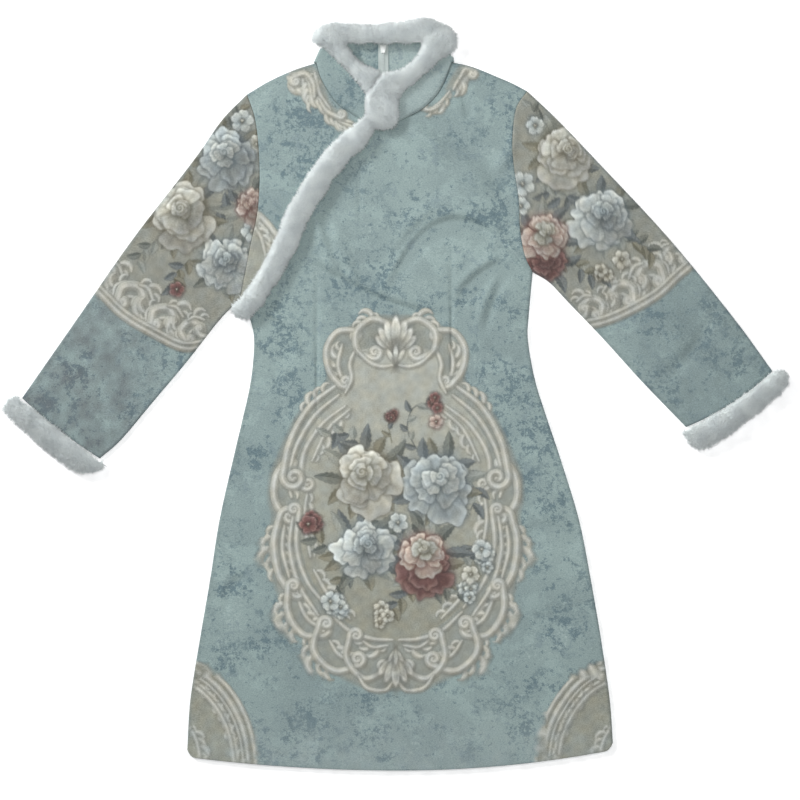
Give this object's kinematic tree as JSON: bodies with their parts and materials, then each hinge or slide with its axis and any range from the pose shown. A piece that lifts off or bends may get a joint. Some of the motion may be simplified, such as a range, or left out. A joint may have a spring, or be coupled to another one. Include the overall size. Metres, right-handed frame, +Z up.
{
  "type": "cheongsam dress",
  "caption": "Long-sleeved A-line cheongsam dress with stand collar, slanted front edge and fur trim, laid flat front side up.",
  "frame": {"origin": "on the surface that the dress lies on, under the middle of the whole laid-out garment", "axes": "+Z up out of the surface and out of the front's face, +X towards the wearer's left sleeve (right in the picture), +Y from hem to collar"},
  "size_m": [1.0024, 0.9542, 0.0188],
  "materials": {
    "printed_jacquard": "woven jacquard, dull teal ground with light and dark flecks, cream cartouches and flowers, soft sheen",
    "teal_jacquard": "woven jacquard, dull teal ground with light and dark flecks, soft sheen",
    "white_fur": "short dense white fur",
    "zip_tape": "pale closed coil zip on woven tape",
    "zip_slider": "glossy pale enamel"
  },
  "bodies": {
    "root": {"front_panel": "printed_jacquard", "front_underlap": "printed_jacquard", "back_left": "teal_jacquard", "back_right": "teal_jacquard", "sleeve_left": "printed_jacquard", "sleeve_right": "printed_jacquard", "collar_left": "teal_jacquard", "collar_right": "teal_jacquard", "fur_collar_left": "white_fur", "fur_collar_right": "white_fur", "fur_front": "white_fur", "fur_cuff_left": "white_fur", "fur_cuff_right": "white_fur", "zip_tape": "zip_tape", "zip_slider": "zip_slider"}
  },
  "joints": []
}
